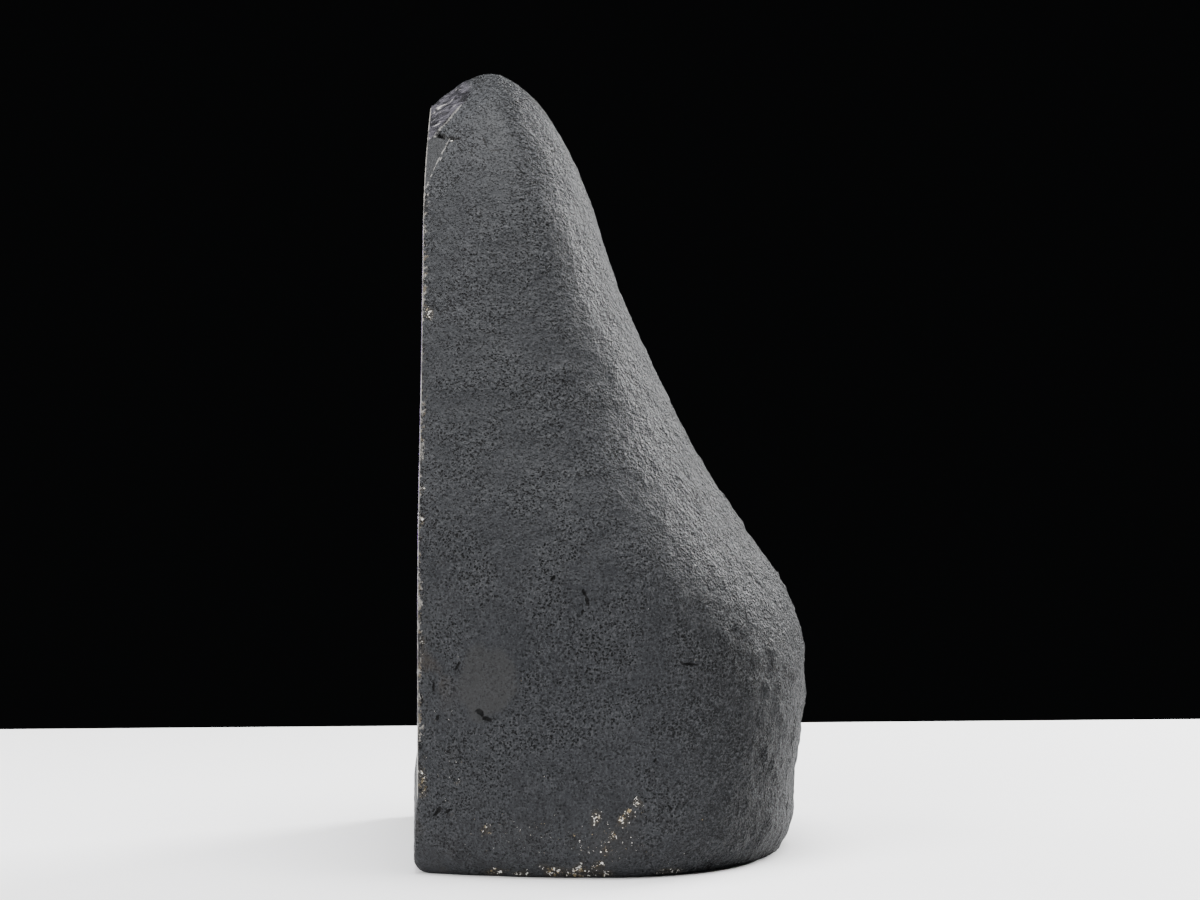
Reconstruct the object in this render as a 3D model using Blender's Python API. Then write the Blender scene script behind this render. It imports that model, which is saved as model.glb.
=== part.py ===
"""Amethyst geode dome, standing on its own flat foot, in metres.

Half of a hollow geode, sawn flat down the front. Outside it has a rough dark coat that runs down into a
foot. The hollow is lined by one crust of quartz that ends in pointed amethyst crystals.
X runs across the sawn face, Y runs from that face to the back and Z is up. The origin is under the
middle of the whole stone, on the surface that it stands on.
"""

import math

import bmesh
import bpy
import numpy as np
from mathutils import Matrix, Vector, geometry
from mathutils.bvhtree import BVHTree

MM = 0.001

# The stone's outside: horizontal sections from the floor to the peak. In each, an oval is widest at
# some depth behind the saw cut, and reaches back from there, and forward past the cut, which the saw
# removes. Columns: height, depth of the widest line, reach back, reach forward, half width.
SECTIONS = MM * np.array(
    [
        (0, 106.0, 119.5, 190, 131.0),
        (8, 107.0, 122.5, 197, 136.0),
        (50, 106.0, 128.0, 198, 137.5),
        (100, 103.0, 136.3, 196, 137.0),
        (150, 97.0, 134.3, 190, 132.5),
        (200, 86.0, 113.6, 179, 121.5),
        (250, 76.0, 91.3, 154, 107.0),
        (300, 66.0, 76.4, 134, 93.0),
        (350, 56.5, 63.1, 116, 78.5),
        (400, 48.5, 55.2, 86, 62.0),
        (430, 45.0, 45.4, 64, 48.5),
        (450, 42.0, 36.1, 47, 35.5),
        (462, 40.0, 28.6, 38, 26.5),
        (472, 38.6, 19.0, 26, 17.0),
        (477.5, 38.0, 10.5, 13, 9.5),
        (480, 37.6, 0.0, 0, 0.0),
    ]
)
OUTSIDE_ROWS = 30
OUTSIDE_COLUMNS = 52

# How the stone stands: the saw cut leans back by this much per metre of height, and the stone sways
# sideways as it rises. The sizes above and below are taken from the saw cut and the swaying middle line.
LEAN_BACK = 0.0105
SWAY = 8 * MM
SWAY_BENDS = 8.5

# The foot: the coat stands a little proud of the sawn face below this height, and its lower edge is round.
FOOT_HEIGHT = 44 * MM
FOOT_PROUD = 1.2 * MM
FOOT_LEDGE = 2 * MM
FOOT_EDGE_RADIUS = 8 * MM
FOOT_EDGE_STEPS = 4
SAW_BLOCK = (0.15, 0.55, 0.2, 0.02)  # its reach forward, up, to each side and below the floor

# The hollow: an egg around a level line. Its semi-axes change with height, and its widest line lies
# behind the saw cut. Columns: height, depth of the widest line, reach back, half width.
HOLLOW_MIDDLE = 195 * MM
HOLLOW_UP = 270 * MM
HOLLOW_DOWN = 150 * MM
HOLLOW_AXES = MM * np.array(
    [
        (40, 100, 132, 128),
        (120, 96, 122, 121),
        (200, 83, 90, 101),
        (300, 64, 59, 79),
        (400, 48, 49, 65),
        (470, 42, 44, 58),
    ]
)
RIM_COSINE = -0.45  # how far past the egg's widest line the saw cut lies, on a unit ball
FRONT_RINGS = (0.25, 0.6)  # where the egg's part that lies before the cut has rings, from the cut to its tip
HOLLOW_RINGS = 11
HOLLOW_COLUMNS = 36

# The crust: quartz on the hollow's wall, and the crystals that it ends in.
CRUST_GAP = 0.35 * MM
QUARTZ_THICKNESS = 14 * MM
CRYSTAL_SPACING = 10.4 * MM
CRYSTAL_TRIES = 9000
CRYSTAL_FROM_RIM = 0.62  # least way from a rim point to a crystal, as a share of the spacing
CRYSTAL_FROM_CUT = 0.45  # least depth of a crystal behind the saw cut, as a share of the spacing
CRYSTAL_RISE = (1.05, 1.9)  # crystal height as a share of its own foot's radius
CRYSTAL_LEAN = 0.28  # sideways shift of a point, as a share of its foot's radius
CRYSTAL_STEP_DOWN = 0.75  # how much lower a crystal gets each time that it runs into another
HOLLOW_AIM = 0.6  # crystals point at the hollow's middle line, this share of their own depth behind the cut
RIM_SETBACK = 1.5 * MM
RIM_POINTS = 72
RIM_TOOTH = 3.2 * MM
SEED = 7

# The break at the top of the face, and the flat ground below it, both on the +X side. Each is a plane:
# a point on it, given from the saw cut, and its outward direction.
BREAK_POINT = Vector((-10, 0, 460)) * MM
BREAK_NORMAL = Vector((0.578, -0.65, 1.0)).normalized()
BREAK_ROUGHNESS = 0.9 * MM
GROUND_POINT = Vector((24, 0, 437)) * MM
GROUND_NORMAL = Vector((0.637, -0.637, 0.434)).normalized()
CUTTER_SPAN = 60 * MM
CUTTER_CELLS = 12
CUTTER_THICKNESS = 40 * MM

COAT_COLOUR = (0.055, 0.058, 0.062, 1)
AMETHYST_COLOUR = (0.2, 0.06, 0.36, 1)


def material(name, colour, roughness):
    made = bpy.data.materials.new(name)
    made.use_nodes = True
    shader = made.node_tree.nodes["Principled BSDF"]
    shader.inputs["Base Color"].default_value = colour
    shader.inputs["Roughness"].default_value = roughness
    shader.inputs["Metallic"].default_value = 0
    return made


def new_object(name, points, faces):
    mesh = bpy.data.meshes.new(name)
    mesh.from_pydata([tuple(p) for p in points], [], faces)
    made = bpy.data.objects.new(name, mesh)
    bpy.context.scene.collection.objects.link(made)
    return made


def as_cutter(made, target):
    """Takes made out of target with a Boolean, and leaves it as a hidden helper."""
    made.hide_render = True
    made.display_type = "WIRE"
    cut = target.modifiers.new(made.name, "BOOLEAN")
    cut.operation = "DIFFERENCE"
    cut.object = made


def smooth_curve(knots, values, at):
    """Cubic through the stations: each stretch blends its two end values and the slopes there."""
    slopes = np.gradient(values, knots, axis=0)
    i = np.clip(np.searchsorted(knots, at, side="right") - 1, 0, len(knots) - 2)
    step = (knots[i + 1] - knots[i])[:, None]
    t = (at - knots[i])[:, None] / step
    return (
        values[i] * (1 + 2 * t) * (1 - t) ** 2
        + slopes[i] * step * t * (1 - t) ** 2
        + values[i + 1] * (3 - 2 * t) * t**2
        - slopes[i + 1] * step * t**2 * (1 - t)
    )


def ring_faces(rings, columns):
    """Quads between closed rings of points, stored ring after ring, that face away from the axis."""
    return [
        (
            row * columns + i,
            row * columns + (i + 1) % columns,
            (row + 1) * columns + (i + 1) % columns,
            (row + 1) * columns + i,
        )
        for row in range(rings - 1)
        for i in range(columns)
    ]


def split(quads):
    """Each quad as two triangles, so that two walls a hair apart bend along the same lines."""
    return [half for a, b, c, d in quads for half in ((a, b, c), (a, c, d))]


def lumps(turn, height):
    """Shares by which the outside swells and sinks, none at the back's middle line."""
    shoulders = 0.020 * np.sin(2 * turn) * np.sin(17 * height + 0.6)
    ribs = 0.012 * np.sin(4 * turn + 0.4) * np.cos(turn) * np.sin(31 * height + 1.9)
    flanks = 0.016 * np.cos(turn) ** 2 * np.sin(23 * height - 2 * np.sign(np.cos(turn)))
    return 1 + shoulders + ribs + flanks


def nodule():
    """The whole stone before the saw: oval sections set on each other, closed by a peak and a flat base."""
    reach = np.hypot(np.diff(SECTIONS[:, 0]), np.diff(SECTIONS[:, 2]))
    along = np.concatenate([[0], np.cumsum(reach)])
    rows = smooth_curve(along, SECTIONS, np.linspace(0, along[-1], OUTSIDE_ROWS + 1))[:-1]
    turn = np.linspace(0, 2 * math.pi, OUTSIDE_COLUMNS, endpoint=False)[None, :]
    height, middle, back, front, half = (rows[:, i : i + 1] for i in range(5))
    swell = lumps(turn, height)
    x = half * np.cos(turn) * swell
    y = middle + np.where(np.sin(turn) > 0, back, front) * np.sin(turn) * swell
    z = np.broadcast_to(height, x.shape)
    peak = (0, SECTIONS[-1, 1], SECTIONS[-1, 0])
    points = np.vstack([np.stack([x, y, z], axis=-1).reshape(-1, 3), peak])
    faces = ring_faces(OUTSIDE_ROWS, OUTSIDE_COLUMNS)
    last = (OUTSIDE_ROWS - 1) * OUTSIDE_COLUMNS
    top = len(points) - 1
    faces += [
        (last + i, last + (i + 1) % OUTSIDE_COLUMNS, top) for i in range(OUTSIDE_COLUMNS)
    ]
    faces.append(tuple(reversed(range(OUTSIDE_COLUMNS))))
    return new_object("rock_shell", points, faces)


def saw(target):
    """Takes off what is in front of the sawn face, down to the foot that stands proud and has a round edge."""
    turn = np.linspace(0, math.pi / 2, FOOT_EDGE_STEPS + 1)
    edge = [
        (
            -FOOT_PROUD + FOOT_EDGE_RADIUS * (1 - math.cos(a)),
            FOOT_EDGE_RADIUS * (1 - math.sin(a)),
        )
        for a in turn
    ]
    deep, above, side, below = SAW_BLOCK
    profile = [
        (-deep, above),
        (0, above),
        (0, FOOT_HEIGHT),
        (-FOOT_PROUD, FOOT_HEIGHT - FOOT_LEDGE),
        *edge,
        (edge[-1][0], -below),
        (-deep, -below),
    ]
    count = len(profile)
    points = [(x, y, z) for x in (-side, side) for y, z in profile]
    faces = [
        (i, i + count, (i + 1) % count + count, (i + 1) % count) for i in range(count)
    ]
    faces.append(tuple(range(count)))
    faces.append(tuple(reversed(range(count, 2 * count))))
    block = new_object("saw_block", points, faces)
    face_outwards(block)
    as_cutter(block, target)


def face_outwards(made):
    shape = bmesh.new()
    shape.from_mesh(made.data)
    bmesh.ops.recalc_face_normals(shape, faces=shape.faces)
    shape.to_mesh(made.data)
    shape.free()


def slab_cutter(name, point, normal, roughness, target):
    """Takes off what lies beyond a plane, with a slab whose near side can be broken up like stone."""
    across = normal.orthogonal().normalized()
    along = normal.cross(across)
    side = np.linspace(-CUTTER_SPAN, CUTTER_SPAN, CUTTER_CELLS + 1)
    u, v = np.meshgrid(side, side, indexing="ij")
    rise = roughness * (
        np.sin(310 * u + 1.0) * np.sin(270 * v) + 0.6 * np.sin(530 * u - 410 * v + 0.5)
    )
    low = (
        np.array(point)
        + u[..., None] * np.array(across)
        + v[..., None] * np.array(along)
        + rise[..., None] * np.array(normal)
    ).reshape(-1, 3)
    corners = [
        point + normal * CUTTER_THICKNESS + across * a * CUTTER_SPAN + along * b * CUTTER_SPAN
        for a, b in ((-1, -1), (1, -1), (1, 1), (-1, 1))
    ]
    n = CUTTER_CELLS + 1
    faces = [
        (i * n + j, (i + 1) * n + j, (i + 1) * n + j + 1, i * n + j + 1)
        for i in range(n - 1)
        for j in range(n - 1)
    ]
    first = n * n
    sides = [
        [i * n for i in range(n)],
        [(n - 1) * n + j for j in range(n)],
        [i * n + n - 1 for i in reversed(range(n))],
        [j for j in reversed(range(n))],
    ]
    for i, line in enumerate(sides):
        faces.append((*line, first + (i + 1) % 4, first + i))
    faces.append((first, first + 1, first + 2, first + 3))
    slab = new_object(name, [*low, *corners], faces)
    face_outwards(slab)
    as_cutter(slab, target)


def hollow_points(ball, inset):
    """Maps directions on a unit ball, whose +Y is the deepest point, to the hollow's egg, inset by a wall."""
    reach = np.where(ball[:, 2] > 0, HOLLOW_UP, HOLLOW_DOWN) - inset
    z = HOLLOW_MIDDLE + reach * ball[:, 2]
    axes = smooth_curve(HOLLOW_AXES[:, 0], HOLLOW_AXES, z)
    middle, back, half = axes[:, 1], axes[:, 2] - inset, axes[:, 3] - inset
    front = middle / -RIM_COSINE
    x = half * ball[:, 0]
    y = middle + np.where(ball[:, 1] > 0, back, front) * ball[:, 1]
    return np.stack([x, y, z], axis=-1)


def ball_rings(angles, columns):
    """Rings of directions around the +Y pole, each at an angle from it."""
    turn = np.linspace(0, 2 * math.pi, columns, endpoint=False)[None, :]
    away = np.asarray(angles)[:, None]
    x = np.sin(away) * np.cos(turn)
    z = np.sin(away) * np.sin(turn)
    y = np.broadcast_to(np.cos(away), x.shape)
    return np.stack([x, y, z], axis=-1).reshape(-1, 3)


def hollow_angles():
    """Ring angles from the back pole to the saw cut."""
    rim = math.acos(RIM_COSINE)
    return np.linspace(rim / HOLLOW_RINGS, rim, HOLLOW_RINGS)


def hollow_cutter(target):
    """The egg that empties the stone, closed in front of the saw cut by two more rings."""
    rim = math.acos(RIM_COSINE)
    angles = [*hollow_angles(), *(rim + share * (math.pi - rim) for share in FRONT_RINGS)]
    poles = np.array([(0.0, 1.0, 0.0), (0.0, -1.0, 0.0)])
    ball = np.vstack([ball_rings(angles, HOLLOW_COLUMNS), poles])
    faces = split(ring_faces(len(angles), HOLLOW_COLUMNS))
    back, front = len(ball) - 2, len(ball) - 1
    last = (len(angles) - 1) * HOLLOW_COLUMNS
    for i in range(HOLLOW_COLUMNS):
        following = (i + 1) % HOLLOW_COLUMNS
        faces.append((back, following, i))
        faces.append((front, last + i, last + following))
    egg = new_object("hollow_egg", hollow_points(ball, 0), faces)
    face_outwards(egg)
    as_cutter(egg, target)


def flat_map(ball):
    """Stereographic map of the ball from its front pole, which keeps neighbours neighbours."""
    return ball[:, [0, 2]] / (1 + ball[:, 1:2])


def crystal_seeds(random, rim_points):
    """Directions of the crystals' feet, thrown at random and kept where none stands too near."""
    inset = CRUST_GAP + QUARTZ_THICKNESS
    tries = random.normal(size=(CRYSTAL_TRIES, 3))
    tries /= np.linalg.norm(tries, axis=1)[:, None]
    places = hollow_points(tries, inset)
    inside = (tries[:, 1] > RIM_COSINE) & (places[:, 1] > CRYSTAL_FROM_CUT * CRYSTAL_SPACING)
    tries, places = tries[inside], places[inside]
    kept = np.empty((0, 3))
    seeds = []
    blocked = rim_points
    for direction, place in zip(tries, places):
        near = np.concatenate([blocked, kept])
        gap = np.where(np.arange(len(near)) < len(blocked), CRYSTAL_FROM_RIM, 1) * CRYSTAL_SPACING
        if (np.linalg.norm(near - place, axis=1) > gap).all():
            kept = np.vstack([kept, place])
            seeds.append(direction)
    return np.array(seeds)


def toothed_rim():
    """The crust's inner edge on the sawn face, where the saw went through crystals: points in and out by turns."""
    ball = ball_rings([math.acos(RIM_COSINE)], RIM_POINTS)
    inner = hollow_points(ball, CRUST_GAP + QUARTZ_THICKNESS)
    centre = np.array([0, 0, HOLLOW_MIDDLE])
    inwards = centre - inner
    inwards /= np.linalg.norm(inwards, axis=1)[:, None]
    tooth = np.where(np.arange(RIM_POINTS) % 2 == 0, RIM_TOOTH, 0)
    return ball, inner + inwards * tooth[:, None]


def crust():
    """One solid: quartz with its back to the hollow's wall, a flat sawn rim, and crystals side by side."""
    random = np.random.default_rng(SEED)
    inset = CRUST_GAP + QUARTZ_THICKNESS
    rim_ball, rim_points = toothed_rim()
    seeds = crystal_seeds(random, rim_points)
    ball = np.vstack([rim_ball, seeds])
    flat = [Vector(p) for p in flat_map(ball)]
    edges = [(i, (i + 1) % RIM_POINTS) for i in range(RIM_POINTS)]
    _, _, triangles, origins, _, _ = geometry.delaunay_2d_cdt(flat, edges, [], 1, 1e-6)
    places = np.vstack([rim_points, hollow_points(seeds, inset)])
    shape = bmesh.new()
    for place in places:
        shape.verts.new(place)
    shape.verts.ensure_lookup_table()
    for triangle in triangles:
        shape.faces.new([shape.verts[origins[i][0]] for i in triangle])
    bmesh.ops.beautify_fill(shape, faces=shape.faces, edges=shape.edges, method="ANGLE")
    raise_crystals(shape, len(places), random)
    close_crust(shape)
    bmesh.ops.recalc_face_normals(shape, faces=shape.faces)
    made = new_object("crystal_crust", [], [])
    shape.to_mesh(made.data)
    shape.free()
    return made


def raise_crystals(shape, count, random):
    """Each seed becomes the point of a crystal, whose faces fall to valleys midway to its neighbours."""
    old_edges = [e for e in shape.edges if not e.is_boundary]
    bmesh.ops.poke(shape, faces=shape.faces, offset=0)
    for edge in old_edges:
        bmesh.utils.edge_rotate(edge)
    shape.verts.ensure_lookup_table()
    feet, lifts = {}, {}
    for vertex in shape.verts[RIM_POINTS:count]:
        around = [e.other_vert(vertex).co for e in vertex.link_edges]
        normal = sum((f.calc_area() * f.normal for f in vertex.link_faces), Vector()).normalized()
        middle = sum(around, Vector()) / len(around)
        if normal.dot(Vector((0, HOLLOW_AIM * middle.y, HOLLOW_MIDDLE)) - middle) < 0:
            normal = -normal
        size = sum((p - middle).length for p in around) / len(around)
        lean = Vector(random.normal(size=3)) * CRYSTAL_LEAN * size
        feet[vertex] = middle
        lifts[vertex] = normal * random.uniform(*CRYSTAL_RISE) * size + lean - normal * lean.dot(normal)
    while lifts:
        for vertex, lift in lifts.items():
            vertex.co = feet[vertex] + lift
            vertex.co.y = max(vertex.co.y, RIM_SETBACK)
        crossing = crossing_points(shape)
        lifts = {v: lift * CRYSTAL_STEP_DOWN for v, lift in lifts.items() if v in crossing}


def settle(made):
    """Leans a piece back and bends it sideways."""
    for vertex in made.data.vertices:
        height = max(vertex.co.z, 0)
        vertex.co.x += SWAY * math.sin(SWAY_BENDS * height)
        vertex.co.y += LEAN_BACK * height


def middle_of(made):
    """The middle of a piece's footprint, with its cuts made."""
    bpy.context.view_layer.update()
    cut = made.evaluated_get(bpy.context.evaluated_depsgraph_get())
    corners = [Vector(c) for c in cut.bound_box]
    return (corners[0] + corners[6]) / 2


def crossing_points(shape):
    """The corners of faces that run through other faces, where crystals stand too close."""
    shape.faces.ensure_lookup_table()
    tree = BVHTree.FromBMesh(shape)
    corners = set()
    for a, b in tree.overlap(tree):
        near, far = set(shape.faces[a].verts), set(shape.faces[b].verts)
        if not near & far:
            corners |= near | far
    return corners


def close_crust(shape):
    """Adds the crust's back, which follows the hollow's wall, and the flat rim between back and crystals."""
    inner_loop = [e for e in shape.edges if e.is_boundary]
    angles = hollow_angles()
    ball = np.vstack([ball_rings(angles, HOLLOW_COLUMNS), (0.0, 1.0, 0.0)])
    back = [shape.verts.new(p) for p in hollow_points(ball, CRUST_GAP)]
    for face in split(ring_faces(len(angles), HOLLOW_COLUMNS)):
        shape.faces.new([back[i] for i in face])
    for i in range(HOLLOW_COLUMNS):
        shape.faces.new([back[-1], back[(i + 1) % HOLLOW_COLUMNS], back[i]])
    last = (len(angles) - 1) * HOLLOW_COLUMNS
    outer_loop = [
        shape.edges.get((back[last + i], back[last + (i + 1) % HOLLOW_COLUMNS]))
        for i in range(HOLLOW_COLUMNS)
    ]
    bmesh.ops.bridge_loops(shape, edges=inner_loop + outer_loop)


def main():
    for old in list(bpy.data.objects):
        bpy.data.objects.remove(old)
    shell = nodule()
    shell.data.materials.append(material("dark_coat", COAT_COLOUR, 0.85))
    saw(shell)
    hollow_cutter(shell)
    slab_cutter("break_slab", BREAK_POINT, BREAK_NORMAL, BREAK_ROUGHNESS, shell)
    slab_cutter("ground_slab", GROUND_POINT, GROUND_NORMAL, 0, shell)
    lining = crust()
    lining.data.materials.append(material("amethyst", AMETHYST_COLOUR, 0.2))
    pieces = list(bpy.data.objects)
    for piece in pieces:
        settle(piece)
    middle = middle_of(shell)
    for piece in pieces:
        piece.data.transform(Matrix.Translation((-middle.x, -middle.y, 0)))


main()
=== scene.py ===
import itertools
import math

import bmesh
import bpy
import numpy as np
from mathutils import Matrix, Vector


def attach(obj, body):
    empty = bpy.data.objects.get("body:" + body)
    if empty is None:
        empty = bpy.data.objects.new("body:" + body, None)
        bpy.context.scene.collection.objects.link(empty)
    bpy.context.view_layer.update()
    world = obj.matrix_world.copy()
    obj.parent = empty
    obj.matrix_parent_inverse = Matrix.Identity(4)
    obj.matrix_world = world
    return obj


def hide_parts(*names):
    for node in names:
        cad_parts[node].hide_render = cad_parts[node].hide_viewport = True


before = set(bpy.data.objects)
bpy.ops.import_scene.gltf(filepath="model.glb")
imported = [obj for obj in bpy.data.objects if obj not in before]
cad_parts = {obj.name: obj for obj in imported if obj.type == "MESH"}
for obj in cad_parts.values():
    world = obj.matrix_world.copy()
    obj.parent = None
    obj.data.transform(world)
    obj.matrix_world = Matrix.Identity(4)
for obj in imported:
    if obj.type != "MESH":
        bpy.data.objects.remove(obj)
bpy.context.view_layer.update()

# The coated rock
# Half of a hollow stone, sawn flat down the front. Its outside is brushed with a dark cement coat that
# thickens into a foot, and the coat has dents, worn spots and one large break beside the peak.

MM = 0.001
SAW_DEPTH = -119.5 * MM  # where the sawn face lies at the floor
LEAN_BACK = 0.0105
SWAY = 8 * MM
SWAY_BENDS = 8.5
SIDEWAYS = 2.24 * MM
GROUND_BACK = 3.9 * MM  # at the top of the cut, fading out over the heights and depths below
GROUND_HEIGHTS = (385 * MM, 458 * MM)
GROUND_DEPTH = 40 * MM
BOW = 1.2 * MM  # the face stands this much forward at mid height
BOW_HEIGHT = 185 * MM
BOW_REACH = 95 * MM

# Height, depth of the widest line behind the cut, reach back from it, reach forward, half width.
SECTIONS = MM * np.array(
    [
        (0, 106.0, 119.5, 190, 131.0),
        (8, 107.0, 122.5, 197, 136.0),
        (50, 106.0, 128.0, 198, 137.5),
        (100, 103.0, 136.3, 196, 137.0),
        (150, 97.0, 134.3, 190, 132.5),
        (200, 86.0, 113.6, 179, 121.5),
        (250, 76.0, 91.3, 154, 107.0),
        (300, 66.0, 76.4, 134, 93.0),
        (350, 56.5, 63.1, 116, 78.5),
        (400, 48.5, 55.2, 86, 62.0),
        (430, 45.0, 45.4, 64, 48.5),
        (450, 42.0, 36.1, 47, 35.5),
        (462, 40.0, 28.6, 38, 26.5),
        (472, 38.6, 19.0, 26, 17.0),
        (477.5, 38.0, 10.5, 13, 9.5),
        (480, 37.6, 0.0, 0, 0.0),
    ]
)
FOOT_HEIGHT = 44 * MM
FOOT_LEDGE = 13 * MM
FOOT_PROUD = 1.2 * MM
FOOT_EDGE = 8 * MM
FOOT_ROWS = MM * np.array([0, 0.7, 1.6, 2.8, 4.2, 6, 8, *np.arange(10, 42, 2), 42, 43, 44])
ROCK_ROWS = 222
ROCK_COLUMNS = 318
EDGE_BEVEL = 0.5 * MM
BREAK = (Vector((15, 0, 445.5)) * MM, Vector((0.70, -0.62, 1.0)).normalized())
GROUND = (Vector((24, 0, 437)) * MM, Vector((0.637, -0.637, 0.434)).normalized())
FINE_STEPS = 4000  # along the outline, before the rows are picked from them
HALVINGS = 30
LATTICE = 61
ASKEW = np.array([(0.80, 0.36, -0.48), (-0.6, 0.48, -0.64), (0, 0.8, 0.6)])


def cloud(points, size, seed, stretch=(1, 1, 1)):
    """Smooth noise from -1 to 1: a lattice of random numbers, blended between its corners with an S-curve.

    The lattice stands askew to the axes, repeats, and is counted from far below the floor.
    """
    lattice = np.random.default_rng(seed).uniform(-1, 1, (LATTICE,) * 3)
    place = points @ ASKEW / (size * np.array(stretch)) + LATTICE * 20
    cell = np.floor(place).astype(int)
    part = place - cell
    part = part * part * (3 - 2 * part)
    total = np.zeros(points.shape[:-1])
    for corner in itertools.product((0, 1), repeat=3):
        i, j, k = np.moveaxis((cell + corner) % LATTICE, -1, 0)
        total += np.prod(np.where(corner, part, 1 - part), axis=-1) * lattice[i, j, k]
    return total


def ease(low, high, x):
    """An S-curve from 0 at low to 1 at high."""
    t = np.clip((x - low) / (high - low), 0, 1)
    return t * t * (3 - 2 * t)


def smooth_curve(knots, values, at):
    """Cubic through the stations: each stretch blends its two end values and the slopes there."""
    slopes = np.gradient(values, knots, axis=0)
    i = np.clip(np.searchsorted(knots, at, side="right") - 1, 0, len(knots) - 2)
    step = (knots[i + 1] - knots[i])[:, None]
    t = (at - knots[i])[:, None] / step
    return (
        values[i] * (1 + 2 * t) * (1 - t) ** 2
        + slopes[i] * step * t * (1 - t) ** 2
        + values[i + 1] * (3 - 2 * t) * t**2
        - slopes[i + 1] * step * t**2 * (1 - t)
    )


def settle(points):
    """Leans points back from the cut, sways them sideways with height, and brings them over the origin.

    Towards the peak the face is ground back as well, by the height's share of that stretch to the power 1.6,
    and round the middle it bows forward, by a bell curve of the height. Both fade out with depth.
    """
    height = np.maximum(points[..., 2], 0)
    x = points[..., 0] + SWAY * np.sin(SWAY_BENDS * height) - SIDEWAYS
    share = np.clip((height - GROUND_HEIGHTS[0]) / (GROUND_HEIGHTS[1] - GROUND_HEIGHTS[0]), 0, 1.2)
    back = GROUND_BACK * share**1.6 - BOW * np.exp(-(((height - BOW_HEIGHT) / BOW_REACH) ** 2))
    y = points[..., 1] + LEAN_BACK * height + back * (1 - ease(0, GROUND_DEPTH, points[..., 1])) + SAW_DEPTH
    return np.stack([x, y, points[..., 2]], axis=-1)


# How strong, how many bends to a metre of height, and where the bends start.
SHOULDERS = (0.020, 17, 0.6)
RIBS = (0.012, 31, 1.9)
RIB_TURN = 0.4
FLANKS = (0.016, 23, 2.0)


def lumps(turn, height):
    """Shares by which the outside swells and sinks, none on the middle line of the back.

    Three waves of the height are added: the shoulders also go round twice, the ribs four times, and the
    flanks bulge at the two sides, one starting ahead of the other.
    """
    shoulders = SHOULDERS[0] * np.sin(2 * turn) * np.sin(SHOULDERS[1] * height + SHOULDERS[2])
    ribs = RIBS[0] * np.sin(4 * turn + RIB_TURN) * np.cos(turn) * np.sin(RIBS[1] * height + RIBS[2])
    start = FLANKS[2] * np.sign(np.cos(turn))
    flanks = FLANKS[0] * np.cos(turn) ** 2 * np.sin(FLANKS[1] * height - start)
    return 1 + shoulders + ribs + flanks


def cut_line(height):
    """How far forward of the saw cut the face stands: level, but proud and round-edged at the foot."""
    proud = -FOOT_PROUD * (1 - ease(FOOT_HEIGHT - FOOT_LEDGE, FOOT_HEIGHT, height))
    under = np.clip(1 - height / FOOT_EDGE, 0, 1)
    return proud + FOOT_EDGE * (1 - np.sqrt(1 - under**2))


def rock_rows():
    """Sections at the foot's own heights, then evenly along the outline up to the peak."""
    reach = np.hypot(np.diff(SECTIONS[:, 0]), np.diff(SECTIONS[:, 2]))
    along = np.concatenate([[0], np.cumsum(reach)])
    fine = smooth_curve(along, SECTIONS, np.linspace(0, along[-1], FINE_STEPS + 1))
    start = np.searchsorted(fine[:, 0], FOOT_HEIGHT)
    at = np.linspace(start, FINE_STEPS, ROCK_ROWS + 1)[1:]
    rows = np.concatenate([FOOT_ROWS, np.interp(at, np.arange(FINE_STEPS + 1), fine[:, 0])])
    return np.stack([np.interp(rows, fine[:, 0], fine[:, i]) for i in range(5)], axis=-1)


def rock_outside():
    """Ovals set on each other, each run from the cut's right edge round the back to its left edge.

    Where an oval starts and ends is found by halving: the turn at which it crosses the cut. The way
    outwards is the oval's own, tipped up or down by how fast its reach changes with height.
    """
    rows = rock_rows()
    height, middle, back, front, half = (rows[:, i : i + 1] for i in range(5))
    share = np.linspace(0, 1, ROCK_COLUMNS + 1)[None, :]
    wanted = cut_line(height) + EDGE_BEVEL - middle
    side = np.array([[0.0, math.pi]])
    low, high = np.full((len(rows), 2), -math.pi / 2), np.zeros((len(rows), 2))
    for _ in range(HALVINGS):
        start = (low + high) / 2
        turn = np.where(side > 0, math.pi - start, start)
        behind = front * np.sin(start) * lumps(turn, height) > wanted
        low, high = np.where(behind, low, start), np.where(behind, start, high)
    turn = start[:, :1] + share * (math.pi - start[:, 1:] - start[:, :1])
    swell = lumps(turn, height)
    reach = np.where(np.sin(turn) > 0, back, front)
    x = half * np.cos(turn) * swell
    y = middle + reach * np.sin(turn) * swell
    nudge = 1e-9 * np.arange(len(rows))  # so that no two heights are the same
    slope = np.gradient(rows, rows[:, 0] + nudge, axis=0)
    thin = 0.05 * MM
    rise = (
        -np.cos(turn) ** 2 * slope[:, 4:5] / (half + thin)
        - np.sin(turn) ** 2 * np.where(np.sin(turn) > 0, slope[:, 2:3], slope[:, 3:4]) / (reach + thin)
        - np.sin(turn) * slope[:, 1:2] / (reach + thin)
    )
    outward = np.stack([np.cos(turn) / (half + thin), np.sin(turn) / (reach + thin), rise], axis=-1)
    outward /= np.linalg.norm(outward, axis=-1, keepdims=True)
    outward[-1] = (0, 0, 1)
    points = np.stack([x, y, np.broadcast_to(height, x.shape)], axis=-1)
    return points, outward


def beyond(points, plane):
    """How far points lie out past a plane."""
    return (points - np.array(plane[0])) @ np.array(plane[1])


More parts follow.
